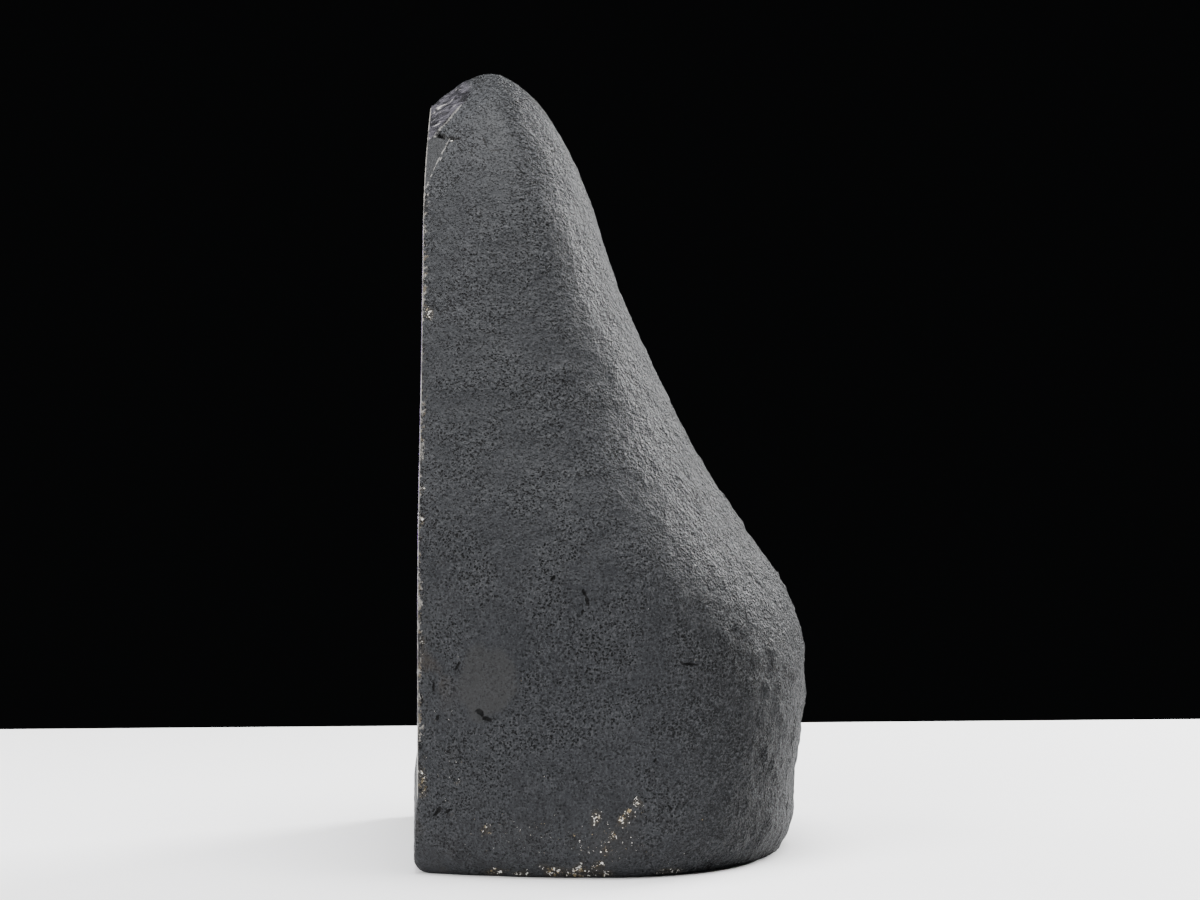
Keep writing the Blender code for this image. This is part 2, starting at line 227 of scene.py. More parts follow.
# Worn spots on the side, in millimetres: depth behind the cut, height, half length, half height. Then how
# strong each is.
WORN_SPOTS = [
    (39, 27.7, 5, 5, 0.80),
    (102, 36, 5, 6, 0.85),
    (124.6, 44.2, 4, 3, 1.00),
    (120, 39, 4, 3, 0.80),
    (115.4, 34, 4, 4, 1.00),
    (110.8, 25.6, 3, 4, 1.00),
    (106.9, 17, 3, 5, 0.90),
    (104, 8, 4, 5, 0.90),
    (46, 2.5, 9, 4, 0.90),
    (60, 2.0, 8, 4, 0.85),
    (78, 4.5, 10, 6, 1.00),
    (92, 5.5, 8, 7, 0.95),
    (91, 3.0, 25, 9, 0.62),
    (108, 3.3, 9, 4, 0.80),
    (145, 3.0, 12, 3, 0.60),
    (23, 54.8, 3, 2, 0.70),
    (19, 35.6, 2, 2, 0.70),
    (4, 325, 4, 5, 0.90),
    (2, 222, 2, 4, 0.90),
    (2, 205, 2, 5, 0.90),
    (2, 136, 2, 7, 0.90),
    (3, 55, 4, 14, 0.70),
    (205, 132, 2, 2, 0.90),
    (16, 432.3, 1.5, 1.5, 1.00),
    (164, 31.7, 1.5, 1.5, 0.70),
    (58, 26, 44, 24, 0.30),
    (112, 22, 30, 26, 0.36),
    (20, 60, 18, 60, 0.23),
]
# Slits and pits on the side, in millimetres: depth behind the cut, height, half length, half width. Then
# the slant of the long way in degrees, and how deep.
PITS = [
    (35.0, 95.2, 3.3, 1.5, -48, 1.3),
    (38.6, 91.9, 3.1, 1.3, -14, 1.2),
    (8.0, 436.4, 5.6, 1.7, -24, 1.8),
    (4.6, 438.6, 2.2, 1.1, -40, 0.8),
    (15.0, 434.0, 2.6, 1.3, -10, 1.0),
    (19.6, 433.4, 1.4, 0.9, 0, 0.7),
    (36.5, 431.5, 5.0, 0.55, -70, 0.4),
    (43.0, 425.4, 4.2, 0.55, 8, 0.4),
    (57.0, 414.0, 6.0, 0.5, -52, 0.4),
    (154.8, 121.8, 4.2, 0.7, -5, 0.8),
    (93.2, 163.4, 2.4, 1.0, -60, 0.9),
    (94.9, 158.6, 2.8, 1.1, -75, 1.0),
    (92.2, 152.8, 1.8, 0.8, -110, 0.7),
    (75.5, 171.8, 1.8, 1.1, 35, 0.9),
    (22.0, 121.0, 2.6, 0.8, 65, 0.5),
    (9.2, 110.5, 3.4, 0.8, 85, 0.7),
    (11.3, 91.7, 1.7, 1.0, 75, 0.8),
    (11.5, 37.2, 3.2, 1.4, 60, 0.9),
    (17.5, 37.6, 2.0, 1.2, 40, 0.6),
    (144.0, 40.5, 1.8, 0.6, -45, 0.6),
    (134.8, 67.9, 2.0, 0.8, 60, 0.6),
    (53.5, 435.6, 1.6, 0.6, 0, 0.6),
    (53.3, 425.7, 1.4, 0.5, 10, 0.5),
    (78.0, 427.2, 2.0, 0.6, -15, 0.6),
]
# Pale lines, partly worn paint and partly painted highlight where the ridges catch light, given as the slits
# are: the broken stone's lip, and the edge of the ground facet.
LIGHT_LINES = [
    (11.1, 446.0, 10.6, 0.6, 47.6),
    (9.4, 423.7, 11.1, 0.45, 63.4),
    (3.1, 408.0, 6.3, 0.4, 69.0),
]
NARROWEST = 1.7 * MM  # the finest slit that the surface's own points can show
PIT_DEEP = 1.3
WORN_DEEP = 0.35

# The side that the photo doesn't show has marks of the same kinds, at random within these, in millimetres.
SCATTER_DEPTHS = (5, 190)
SCATTER_HEIGHTS = (3, 433)
SCATTER_SMALLEST = 1.2
SCATTER_STRENGTHS = (0.6, 1.0)

# The broken stone beside the peak, and the flat ground below it.
BREAK_BORDER = (431.5 * MM, 1.25)  # height of its lower border at the cut, and the border's slope
BREAK_FADE = 0.6 * MM  # how far below the coat it is wholly bare
BORDER_FADE = 0.8 * MM
BREAK_END = (29 * MM, 26 * MM)  # the depths between which it ends, on the photo's side
BREAK_SIDE = -12 * MM
LIP = (0.7, 1.1 * MM)  # how high in millimetres, and how wide
LIP_END = (26 * MM, 18 * MM)
LIP_SIDE = -20 * MM
STEP = (0.6, 2.8 * MM, 1.2 * MM)  # the step above the lip: how deep in millimetres, how far up, how wide
FACET_TOP = (442.2 * MM, -0.61)  # height of its upper end at the cut, and that end's slope
FACET_FADE = 0.5 * MM
FACET_SMOOTH = 0.8
FACET_RIDGE = 2.6

# How the coat differs from place to place.
SMOOTH_PATCH = (39 * MM, 112 * MM, 19 * MM, 24 * MM)
PATCH_RIM = (0.7, 1.2)
WIPED_DEPTHS = (26 * MM, 8 * MM)
WIPED_HEIGHTS = (195 * MM, 165 * MM)
WIPED_SMOOTH = 0.6
SMOOTH_DABS = 0.6  # how much lower the dabs are where the coat is smooth
COARSE_FROM = (0.5, 0.95)  # as shares of the way from the cut to the back
COARSE_HEIGHTS = (330 * MM, 160 * MM)
STROKES = (0.08, 0.45)  # how high in millimetres: everywhere, and how much more where it is coarse
RUBBED_CORNER = (60 * MM, 150 * MM, 90 * MM)  # the low corner behind, rubbed in places
RUBBED_STRENGTH = 0.9
CHIP_REACH = 6 * MM  # how far in from the sawn edge it is chipped
CHIP_FOOT = 4 * MM
CHIP_TOP = (412 * MM, 396 * MM)
CUT_REACH = 4 * MM

# Noises: how strong, in millimetres where they lift the surface, the size of the lumps in millimetres, the
# seed, and for some how far they are drawn out along their own three axes.
NOISES = {
    "splits": (1.1, 6, 3),
    "splinters": (0.5, 2.4, 4),
    "break_border": (1.2, 5, 14),
    "break_end": (1.5, 6, 16),
    "stone_layers": (0.7, 2.8, 13, (1, 2.5, 1.5)),
    "stone_steps": (0.5, 7, 19),
    "swells": (0.8, 38, 8),
    "dabs": (0.42, 11, 9),
    "grains": (0.22, 5.2, 10),
    "strokes": (1, 3, 7, (1, 2.2, 1)),
    "clods": (1.2, 8, 11, (1, 1.6, 0.8)),
    "crumbs": (0.3, 4, 17),
    "patch_rim": (0.2, 9, 12),
    "wiping": (1, 16, 18),
    "rubbing": (1, 14, 15),
    "spot_bends": (0.3, 9, 42),
    "spot_rims": (0.5, 3.5, 41),
    "front_dabs": (0.35, 9, 21),
    "front_grains": (0.22, 3, 22),
}


def noise_of(kind, points):
    """Smooth noise of one kind, from minus to plus its strength."""
    strong, size, seed, *stretch = NOISES[kind]
    return strong * cloud(points, size * MM, seed, *stretch)


def marks(points, table, side=1):
    """For each point of one side, the strongest mark there: full at its middle, none at its ragged rim."""
    total = np.zeros(points.shape[:-1])
    warp = 1 + noise_of("spot_rims", points) + noise_of("spot_bends", points)
    for depth, height, long, tall, strong in table:
        away = np.hypot((points[..., 1] / MM - depth) / long, (points[..., 2] / MM - height) / tall)
        total = np.maximum(total, strong * (1 - ease(0.25, 1.15, away * warp)))
    return np.where(points[..., 0] * side > 0, total, 0)


def slits(points):
    """For each point of the photo's side, the deepest slit there: its whole depth within, none at its rim."""
    total = np.zeros(points.shape[:-1])
    for depth, height, long, wide, slant, deep in PITS:
        turn = math.radians(slant)
        y, z = points[..., 1] - depth * MM, points[..., 2] - height * MM
        along = (y * math.cos(turn) + z * math.sin(turn)) / max(long * MM, NARROWEST)
        across = (z * math.cos(turn) - y * math.sin(turn)) / max(wide * MM, NARROWEST)
        total = np.maximum(total, deep * (1 - ease(0.2, 1.2, np.hypot(along, across))))
    return np.where(points[..., 0] > 0, total, 0)


def scattered(count, seed, largest):
    """A table of marks at random: the cube of an even number makes most of them lie low down."""
    random = np.random.default_rng(seed)
    depth = random.uniform(*SCATTER_DEPTHS, count)
    height = SCATTER_HEIGHTS[0] + np.ptp(SCATTER_HEIGHTS) * random.uniform(0, 1, count) ** 3
    size = random.uniform(SCATTER_SMALLEST, largest, (count, 2))
    return np.column_stack([depth, height, size, random.uniform(*SCATTER_STRENGTHS, count)])


def break_peak(points):
    """Breaks the stone beside its peak and grinds it flat below, and gives how far each point has moved.

    A point past the break's ragged plane sinks straight down onto it. A point past the flat's plane moves
    sideways onto it.
    """
    ragged = MM * (noise_of("splits", points) + noise_of("splinters", points))
    sunk = np.maximum(beyond(points, BREAK) - ragged, 0)
    points[..., 2] -= sunk / BREAK[1].z
    ground = np.maximum(beyond(points, GROUND), 0)
    points[..., 0] -= ground / GROUND[1].x
    return sunk, ground


def stone_shades(points, sunk, ground):
    """Where the broken stone is bare, where it is ground flat, and its lip and the step above the lip.

    The lip and the step are bell curves of the height above the border.
    """
    x, y, z = np.moveaxis(points, -1, 0)
    border = z - BREAK_BORDER[0] - BREAK_BORDER[1] * y + MM * noise_of("break_border", points)
    bare = ease(0, BREAK_FADE, sunk) * ease(-BORDER_FADE, BORDER_FADE, border)
    bare *= np.where(x > BREAK_SIDE, ease(*BREAK_END, y + MM * noise_of("break_end", points)), 1)
    flat = ease(0, FACET_FADE, ground) * (z < FACET_TOP[0] + FACET_TOP[1] * y)
    lip = np.exp(-((border / LIP[1]) ** 2)) * (sunk > 0) * ease(*LIP_END, y)
    step = np.exp(-(((border - STEP[1]) / STEP[2]) ** 2)) * bare
    return bare, flat, lip, step


def coat_shades(points, flat):
    """Where the coat is smooth, wiped by a trowel, coarse, worn and dented, from 0 to 1."""
    x, y, z = np.moveaxis(points, -1, 0)
    away = np.hypot((y - SMOOTH_PATCH[0]) / SMOOTH_PATCH[2], (z - SMOOTH_PATCH[1]) / SMOOTH_PATCH[3])
    patch = np.where(x > 0, 1 - ease(*PATCH_RIM, away + noise_of("patch_rim", points)), 0)
    wiped = ease(*WIPED_DEPTHS, y) * ease(*WIPED_HEIGHTS, z) * ease(-0.2, 0.5, noise_of("wiping", points))
    smooth = np.maximum(np.maximum(FACET_SMOOTH * flat, patch), WIPED_SMOOTH * wiped)
    behind = y / y.max(axis=1, keepdims=True)
    coarse = ease(*COARSE_FROM, behind) * (0.5 + 0.5 * ease(*COARSE_HEIGHTS, z))
    worn = np.maximum(marks(points, WORN_SPOTS), marks(points, scattered(26, 5, largest=5.0), -1))
    corner = (x < RUBBED_CORNER[0]) & (y > RUBBED_CORNER[1]) & (z < RUBBED_CORNER[2])
    rubbed = RUBBED_STRENGTH * ease(0.62, 0.8, noise_of("rubbing", points)) * corner
    dents = marks(points, scattered(16, 6, largest=2.6), -1)
    worn = np.maximum(worn, rubbed)
    return {"worn": worn, "dent": dents, "smooth": smooth, "coarse": coarse, "wiped": wiped}


def finish_outside():
    """The outside, broken and ground beside its peak, with the coat's dabs, grain, slits and worn spots.

    Each point is lifted along its way outwards by a sum of noises, less the depth of the marks there.
    """
    points, outward = rock_outside()
    sunk, ground = break_peak(points)
    bare, flat, lip, step = stone_shades(points, sunk, ground)
    shades = coat_shades(points, flat)
    rough, coarse = 1 - shades["smooth"], shades["coarse"]
    lift = noise_of("swells", points) + noise_of("dabs", points) * (1 - SMOOTH_DABS * shades["smooth"])
    strokes = (STROKES[0] + STROKES[1] * coarse) * noise_of("strokes", points)
    lift += rough * (noise_of("grains", points) + strokes)
    lift += coarse * (np.maximum(noise_of("clods", points), 0) + noise_of("crumbs", points))
    torn = noise_of("stone_layers", points) + noise_of("stone_steps", points)
    lift = np.where(bare > 0.5, torn, lift) + LIP[0] * lip - STEP[0] * step
    lift -= PIT_DEEP * (shades["dent"] + slits(points)) + WORN_DEEP * shades["worn"]
    points += outward * (lift * MM)[..., None]
    points[0, :, 2] = 0
    for side in (0, -1):
        cut = points[:, side, 1] < CUT_REACH
        points[cut, side, 1] = cut_line(points[cut, side, 2]) + EDGE_BEVEL
    x, y, z = np.moveaxis(points, -1, 0)
    edge = np.clip(1 - y / CHIP_REACH, 0, 1) * ease(0, CHIP_FOOT, z - FOOT_HEIGHT) * ease(*CHIP_TOP, z)
    # The ridge share, painted pale in the coat: partly worn paint, partly painted highlight.
    ridge = np.maximum(lip * (x > LIP_SIDE), FACET_RIDGE * flat * (1 - flat))
    return points, {"bare": bare, "ridge": ridge, "edge": edge, **shades}


SEAM_GAP = 0.4 * MM


def seam_closed(points):
    """Above the cut the two ends of each row meet, so the last point is the first one again."""
    meeting = np.abs(points[:, 0, 0] - points[:, -1, 0]) < SEAM_GAP
    points[meeting, -1] = points[meeting, 0]
    points[-1] = points[-1, 0]
    return points


# The hollow that the crystals fill: an egg round a level line. Height, depth of the widest line, reach
# back, half width.
HOLLOW_MIDDLE = 195 * MM
HOLLOW_UP = 270 * MM
HOLLOW_DOWN = 150 * MM
HOLLOW_AXES = MM * np.array(
    [
        (40, 100, 132, 128),
        (120, 96, 122, 121),
        (200, 83, 90, 101),
        (300, 64, 59, 79),
        (400, 48, 49, 65),
        (470, 42, 44, 58),
    ]
)
RIM_COSINE = -0.45
HOLLOW_RINGS = 8


def hollow_points(ball, inset):
    """Directions on a unit ball, +Y the deepest, to points of the egg, this far inside its wall."""
    reach = np.where(ball[..., 2] > 0, HOLLOW_UP, HOLLOW_DOWN) - inset
    z = HOLLOW_MIDDLE + reach * ball[..., 2]
    axes = smooth_curve(HOLLOW_AXES[:, 0], HOLLOW_AXES, z.ravel()).reshape(*z.shape, 4)
    middle, back, half = axes[..., 1], axes[..., 2] - inset, axes[..., 3] - inset
    y = middle + np.where(ball[..., 1] > 0, back, middle / -RIM_COSINE) * ball[..., 1]
    return np.stack([half * ball[..., 0], y, z], axis=-1)


def ball_directions(angle, turn):
    """Directions at an angle from the back pole, turned round it."""
    angle, turn = np.broadcast_arrays(angle, turn)
    return np.stack([np.sin(angle) * np.cos(turn), np.cos(angle), np.sin(angle) * np.sin(turn)], axis=-1)


def egg_measure(points):
    """Below 1 inside the egg and above 1 outside: how far out along its own axes a point lies."""
    x, y, z = np.moveaxis(points, -1, 0)
    level = np.clip(z, HOLLOW_AXES[0, 0], HOLLOW_AXES[-1, 0])
    axes = smooth_curve(HOLLOW_AXES[:, 0], HOLLOW_AXES, level.ravel()).reshape(*z.shape, 4)
    away = y - axes[..., 1]
    deep = np.where(away > 0, axes[..., 2], axes[..., 1] / -RIM_COSINE)
    tall = np.where(z > HOLLOW_MIDDLE, HOLLOW_UP, HOLLOW_DOWN)
    return np.sqrt((x / axes[..., 3]) ** 2 + (away / deep) ** 2 + ((z - HOLLOW_MIDDLE) / tall) ** 2)


MEAN_REACH = 95  # the egg's, in millimetres


def from_hollow(points):
    """Millimetres out from the hollow's wall, near enough: the egg's measure past 1 times its mean reach."""
    return (egg_measure(points) - 1) * MEAN_REACH


FACE_COLUMNS = 110
FACE_RINGS = 14
FACE_START = 0.03  # how much of the way in from the outline the first ring lies
RIM_STEPS = 3001
FRONT_SUNK = 0.2
FRONT_FADE = 3 * MM


def foot_front(right, left):
    """The foot's coated front: straight rows from its right edge to its left, lifted by noise in between."""
    share = np.linspace(0, 1, FACE_COLUMNS + 1)[None, :, None]
    strip = right[:, None] * (1 - share) + left[:, None] * share
    strip[:, 1:-1, 1] = cut_line(strip[:, 1:-1, 2])
    lift = noise_of("front_dabs", strip) + noise_of("front_grains", strip) - FRONT_SUNK
    fade = ease(0, FRONT_FADE, FOOT_HEIGHT - strip[..., 2]) * (strip[..., 2] > 0)
    strip[:, 1:-1, 1] += (lift * fade * MM)[:, 1:-1]
    return strip


def joined_round(grid):
    """Repeats a ring's first column at its end."""
    return np.concatenate([grid, grid[:, :1]], axis=1)


def face_and_hollow(outside):
    """The foot's front, the ring of sawn rock between the outline and the hollow, and the hollow's wall.

    The ring's points run straight from each point of the outline to the one of the hollow's rim that has
    the same bearing. The wall carries them on to the back pole.
    """
    foot = len(FOOT_ROWS)
    right, left = outside[:, 0], outside[:, -1]
    strip = foot_front(right[:foot], left[:foot])
    top = np.flatnonzero(np.abs(right[:, 0] - left[:, 0]) > SEAM_GAP)[-1] + 1
    loop = np.concatenate([right[foot - 1 : top + 1], left[top - 1 : foot - 1 : -1], strip[-1][::-1][:-1]])
    around = np.linspace(-math.pi, math.pi, RIM_STEPS)
    rim = hollow_points(ball_directions(math.acos(RIM_COSINE), around), 0)
    bearing = np.unwrap(np.arctan2(rim[:, 2] - HOLLOW_MIDDLE, rim[:, 0]))
    wanted = np.arctan2(loop[:, 2] - HOLLOW_MIDDLE, loop[:, 0])
    ball_turn = np.interp(wanted, bearing, around)
    hole = hollow_points(ball_directions(math.acos(RIM_COSINE), ball_turn), 0)
    share = FACE_START + (1 - FACE_START) * np.linspace(0, 1, FACE_RINGS)[:, None]
    ring = loop[None] + (hole - loop)[None] * share[..., None]
    ring[..., 1] = 0
    ring = np.concatenate([loop[None], ring])
    way = np.concatenate([[[0]], share]) * np.linalg.norm(hole - loop, axis=-1)[None]
    angles = math.acos(RIM_COSINE) * np.linspace(1, 0, HOLLOW_RINGS)[:, None]
    wall = hollow_points(ball_directions(angles, ball_turn[None]), 0)
    return strip, joined_round(ring), joined_round(way), joined_round(from_hollow(ring)), joined_round(wall)


WELD_REACH = 0.002 * MM


def weld(grids):
    """Joins grids of points where they meet, as triangles, and drops those that a pole flattens."""
    points, triangles, kinds, first = [], [], [], 0
    for grid, kind in grids:
        rows, columns = grid.shape[:2]
        number = first + np.arange(rows * columns).reshape(rows, columns)
        a, b, c, d = number[:-1, :-1], number[:-1, 1:], number[1:, 1:], number[1:, :-1]
        both = np.stack([np.stack([a, b, c], -1), np.stack([a, c, d], -1)]).reshape(-1, 3)
        points.append(grid.reshape(-1, 3))
        triangles.append(both)
        kinds.append(np.full(len(both), kind))
        first += rows * columns
    points, triangles, kinds = np.concatenate(points), np.concatenate(triangles), np.concatenate(kinds)
    cells = np.round(points / WELD_REACH).astype(np.int64)
    _, kept, joined = np.unique(cells, axis=0, return_index=True, return_inverse=True)
    triangles = joined.reshape(-1)[triangles]
    whole = (triangles != np.roll(triangles, 1, axis=1)).all(axis=1)
    return points[kept], triangles[whole], kinds[whole], kept


def set_out(name, data):
    """Puts a mesh, a light or a camera into the scene as an object."""
    made = bpy.data.objects.new(name, data)
    bpy.context.scene.collection.objects.link(made)
    return made


def fill_mesh(name, points, triangles):
    """Puts arrays of points and triangles into a new mesh object."""
    mesh = bpy.data.meshes.new(name)
    mesh.vertices.add(len(points))
    mesh.vertices.foreach_set("co", points.ravel())
    mesh.loops.add(triangles.size)
    mesh.loops.foreach_set("vertex_index", triangles.ravel())
    mesh.polygons.add(len(triangles))
    mesh.polygons.foreach_set("loop_start", np.arange(0, triangles.size, 3))
    mesh.update(calc_edges=True)
    mesh.validate()
    return set_out(name, mesh)


def face_outwards(made):
    """Turns every face of a closed mesh to the outside."""
    shape = bmesh.new()
    shape.from_mesh(made.data)
    bmesh.ops.recalc_face_normals(shape, faces=shape.faces)
    shape.to_mesh(made.data)
    shape.free()


def paint(mesh, name, values):
    """Keeps one number for each point, for the materials to read."""
    mesh.attributes.new(name, "FLOAT", "POINT").data.foreach_set("value", values.astype(np.float32))


SMOOTH_UP_TO = math.radians(50)

outside, shades = finish_outside()
outside = seam_closed(outside)
strip, ring, ring_way, ring_out, wall = face_and_hollow(outside)
base_line = joined_round(np.concatenate([outside[0], strip[0][::-1][1:-1]])[None])[0]
base = np.stack([base_line, np.broadcast_to(base_line[:-1].mean(axis=0), base_line.shape)])
grids = [(outside, 0), (strip, 0), (base, 0), (ring, 1), (wall, 1)]
rock_points, rock_triangles, rock_kinds, kept = weld(grids)
rock = fill_mesh("coated_rock", settle(rock_points), rock_triangles)
rock.data.polygons.foreach_set("material_index", rock_kinds.astype(np.int32))
counts = [grid.shape[0] * grid.shape[1] for grid, _ in grids]
for name, values in shades.items():
    paint(rock.data, name, np.concatenate([values.ravel(), np.zeros(sum(counts[1:]))])[kept])
for name, values in (("way_in", ring_way / MM), ("way_out", ring_out)):
    spread = np.concatenate([np.zeros(sum(counts[:3])), values.ravel(), np.zeros(counts[4])])
    paint(rock.data, name, spread[kept])
face_outwards(rock)
rock.data.polygons.foreach_set("use_smooth", np.ones(len(rock.data.polygons), dtype=bool))
rock.data.set_sharp_from_angle(angle=SMOOTH_UP_TO)


class Nodes:
    """Short hands for wiring up one material."""

    def __init__(self, name):
        self.material = bpy.data.materials.new(name)
        self.material.use_nodes = True
        self.tree = self.material.node_tree
        self.shader = self.tree.nodes["Principled BSDF"]

    def add(self, kind, inputs=(), **settings):
        node = self.tree.nodes.new(kind)
        for key, value in settings.items():
            setattr(node, key, value)
        for key, value in dict(inputs).items():
            self.put(node.inputs[key], value)
        return node

    def put(self, socket, value):
        if isinstance(value, bpy.types.NodeSocket):
            self.tree.links.new(value, socket)
        else:
            socket.default_value = value

    def place(self):
        """The piece's own coordinates."""
        return self.add("ShaderNodeTexCoord").outputs["Object"]

    def attribute(self, name):
        return self.add("ShaderNodeAttribute", attribute_name=name).outputs["Fac"]

    def noise(self, scale, detail=2.0, roughness=0.5, stretch=None, turn=0.0):
        """Noise on the piece's own coordinates, drawn out along axes that are turned about X."""
        place = self.place()
        if stretch:
            drawn = {"Vector": place, "Rotation": (turn, 0, 0), "Scale": stretch}
            place = self.add("ShaderNodeMapping", drawn, vector_type="TEXTURE").outputs["Vector"]
        inputs = {"Vector": place, "Scale": scale, "Detail": detail, "Roughness": roughness}
        return self.add("ShaderNodeTexNoise", inputs).outputs["Fac"]

    def wander(self, reach, scale, detail=2.0, roughness=0.5):
        """Noise round 0, from half of reach below it to half of reach above."""
        return self.times(self.minus(self.noise(scale, detail, roughness), 0.5), reach)

    def ramp(self, value, stops):
        node = self.add("ShaderNodeValToRGB", {"Fac": value})
        elements = node.color_ramp.elements
        while len(elements) < len(stops):
            elements.new(0.5)
        for element, (at, colour) in zip(elements, stops):
            element.position = at
            element.color = (*colour, 1)
        return node.outputs["Color"]

    def step(self, value, low, high):
        """An S-curve of a number, from 0 at low to 1 at high."""
        inputs = {"Value": value, "From Min": low, "From Max": high}
        return self.add("ShaderNodeMapRange", inputs, interpolation_type="SMOOTHSTEP").outputs["Result"]

    def math(self, operation, a, b):
        return self.add("ShaderNodeMath", {0: a, 1: b}, operation=operation).outputs[0]

    def plus(self, a, b):
        return self.math("ADD", a, b)

    def minus(self, a, b):
        return self.math("SUBTRACT", a, b)

    def times(self, a, b):
        return self.math("MULTIPLY", a, b)

    def mix(self, share, a, b):
        node = self.add("ShaderNodeMix", data_type="RGBA")
        self.put(node.inputs[0], share)
        self.put(node.inputs[6], (*a, 1) if isinstance(a, tuple) else a)
        self.put(node.inputs[7], (*b, 1) if isinstance(b, tuple) else b)
        return node.outputs[2]

    def from_spot(self, place, centre, slant, long, wide):
        """How far from an oval on the side: 1 on its rim, its long way slanting up from +Y."""
        inputs = {"Vector": place, "Location": centre, "Rotation": (slant, 0, 0)}
        inputs["Scale"] = (OVAL_REACH, long, wide)
        from_centre = self.add("ShaderNodeMapping", inputs, vector_type="TEXTURE").outputs[0]
        return self.add("ShaderNodeVectorMath", {0: from_centre}, operation="LENGTH").outputs["Value"]

    def bump(self, height, distance, strength=1.0):
        inputs = {"Height": height, "Distance": distance, "Strength": strength}
        return self.add("ShaderNodeBump", inputs).outputs["Normal"]


# Where the ovals of slits and lines lie out to the side: low down, near the peak, and how far each way.
OVAL_SIDE = 130 * MM
OVAL_SIDE_HIGH = 35 * MM
OVAL_SIDE_CHANGE = 300
OVAL_REACH = 60 * MM

PIT_SCALE = 640.0  # cells to a metre
PIT_BEND = 0.0022  # how far noise bends the cells, in metres
COAT_BUMP = 0.0033  # metres
COARSE_BUMP = 7.0

DARK_COAT, LIGHT_COAT = (0.0195, 0.0208, 0.0233), (0.0250, 0.0264, 0.0290)
STAIN = (0.0120, 0.0122, 0.0135)
PATCH_GREY = (0.0300, 0.0300, 0.0298)
WIPED_DARK, WIPED_BROWN = (0.0085, 0.0085, 0.0090), (0.0310, 0.0255, 0.0205)
# Painted glints: pale spots on the grains for the light that sparkles on them, brighter towards the back
# where the back light falls.
GRAIN_GLINT, GRAIN_GLINT_LIT_BACK = (0.0560, 0.0580, 0.0620), (0.125, 0.130, 0.137)
# Painted shade: near-black colour in the pits, holes and gaps, for the shadow that falls in them.
PIT_SHADE, HOLE_SHADE = (0.0020, 0.0021, 0.0025), (0.0030, 0.0030, 0.0035)
WORN_BROWN = (0.0300, 0.0245, 0.0170)
FLAKE_WHITE, FLAKE_TAN = (0.72, 0.70, 0.66), (0.22, 0.17, 0.09)
CHIP_PALE, CHIP_BROWN = (0.17, 0.162, 0.150), (0.090, 0.075, 0.055)
# Painted shade: near-black colour in the dents and slits, for the shadow inside them.
DENT_SHADE, SLIT_SHADE = (0.0020, 0.0020, 0.0024), (0.0012, 0.0012, 0.0015)
# Pale lines on the ridges: partly worn paint, partly painted highlight where they catch light from above.
LIP_WEAR_AND_HIGHLIGHT, LINE_WEAR_AND_HIGHLIGHT = (0.19, 0.185, 0.175), (0.21, 0.205, 0.195)
STONE_DARK, STONE_SPOT = (0.0045, 0.0044, 0.0060), (0.0050, 0.0050, 0.0070)
# The broken stone's grey, and the painted highlight on the crests of its layers.
STONE_GREY, STONE_CREST_HIGHLIGHT = (0.060, 0.057, 0.068), (0.34, 0.325, 0.31)


def coat_roughness(m, low):
    """How rough the coat is: patchy, less at the foot, and least where it is smoothed."""
    patchy = m.plus(m.times(m.step(m.noise(38, 3, 0.6), 0.38, 0.62), 0.50), 0.61)
    patchy = m.times(patchy, m.minus(1.0, m.times(low, 0.25)))
    return m.times(m.minus(1.0, m.times(m.attribute("smooth"), 0.62)), patchy)


def coat_pits(m, place, rough):
    """Pits at the middles of bent Voronoi cells, smaller where a cell's own number is high."""
    bent = m.add("ShaderNodeVectorMath", operation="MULTIPLY_ADD")
    m.put(bent.inputs[0], m.add("ShaderNodeTexNoise", {"Vector": place, "Scale": 420.0}).outputs["Color"])
    m.put(bent.inputs[1], (PIT_BEND, PIT_BEND, PIT_BEND))
    m.put(bent.inputs[2], place)
    inputs = {"Vector": bent.outputs[0], "Scale": PIT_SCALE}
    cells = m.add("ShaderNodeTexVoronoi", inputs, feature="F1").outputs
    number = m.add("ShaderNodeSeparateColor", {"Color": cells["Color"]}).outputs["Red"]
    away = m.plus(cells["Distance"], m.times(number, 0.25))
    away = m.minus(away, m.times(m.attribute("coarse"), 0.10))
    return m.times(m.step(away, 0.56, 0.34), rough)


def coat_ground(m, low):
    """The cement's own colour: blotches, stains that are stronger at the foot, and wiped streaks."""
    coat = m.mix(m.step(m.noise(20, 4, 0.6), 0.36, 0.66), DARK_COAT, LIGHT_COAT)
    stain = m.times(m.step(m.noise(105, 3, 0.6), 0.40, 0.62), m.plus(m.times(low, 0.45), 0.2))
    coat = m.mix(stain, coat, STAIN)
    coat = m.mix(m.times(m.step(m.attribute("smooth"), 0.5, 1.0), 0.7), coat, PATCH_GREY)
    wiped = m.attribute("wiped")
    streak = m.times(m.step(m.noise(120, 3, 0.6, stretch=(1, 1, 6)), 0.50, 0.64), wiped)
    coat = m.mix(m.times(streak, 0.7), coat, WIPED_DARK)
    brown = m.times(m.step(m.noise(55, 3), 0.50, 0.62), wiped)
    return m.mix(m.times(brown, 0.6), coat, WIPED_BROWN)


